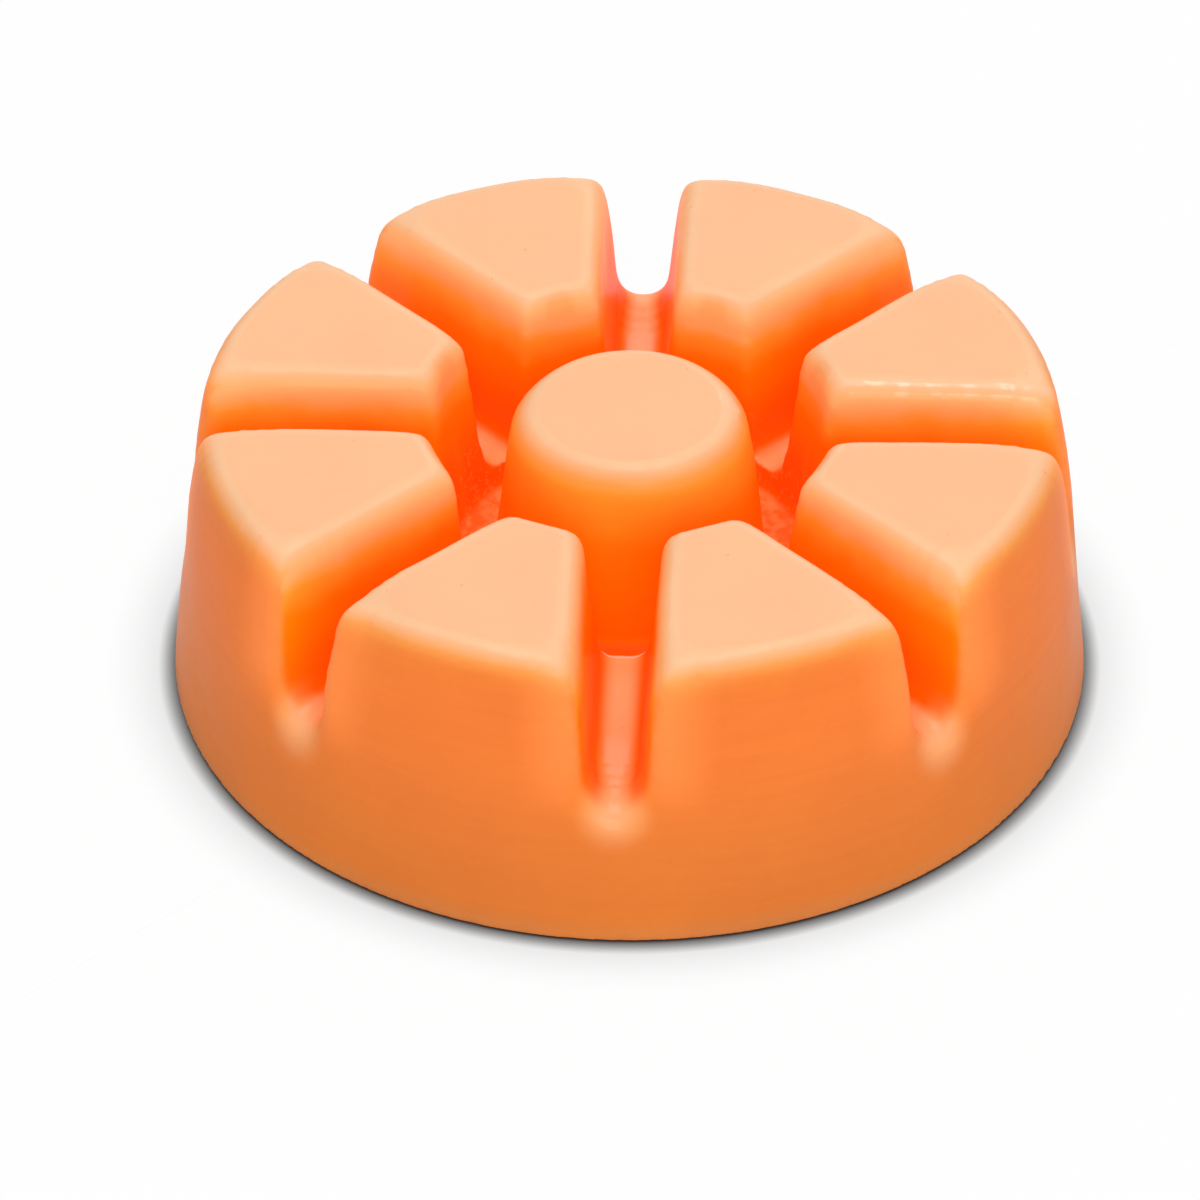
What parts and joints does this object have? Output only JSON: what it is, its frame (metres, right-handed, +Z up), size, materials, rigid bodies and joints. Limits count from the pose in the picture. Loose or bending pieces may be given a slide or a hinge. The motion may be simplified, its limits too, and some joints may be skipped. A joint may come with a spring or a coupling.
{
  "type": "wax melt",
  "caption": "Low round scented wax melt: tapered wedges parted by radial snap grooves, around a round centre button in a ring channel, on one shared flat base.",
  "frame": {"origin": "middle of the flat underside", "axes": "+Z up along the round axis, towards the wedge tops; one snap groove points along -Y, the side nearest the viewer"},
  "size_m": [0.074, 0.074, 0.0249],
  "materials": {
    "wax": "translucent peach-orange paraffin and soy wax blend, satin, soft low sheen, deeper orange in the grooves"
  },
  "bodies": {
    "root": {"wedge_1": "wax", "wedge_2": "wax", "wedge_3": "wax", "wedge_4": "wax", "wedge_5": "wax", "wedge_6": "wax", "wedge_7": "wax", "wedge_8": "wax", "centre_button": "wax"}
  },
  "joints": []
}
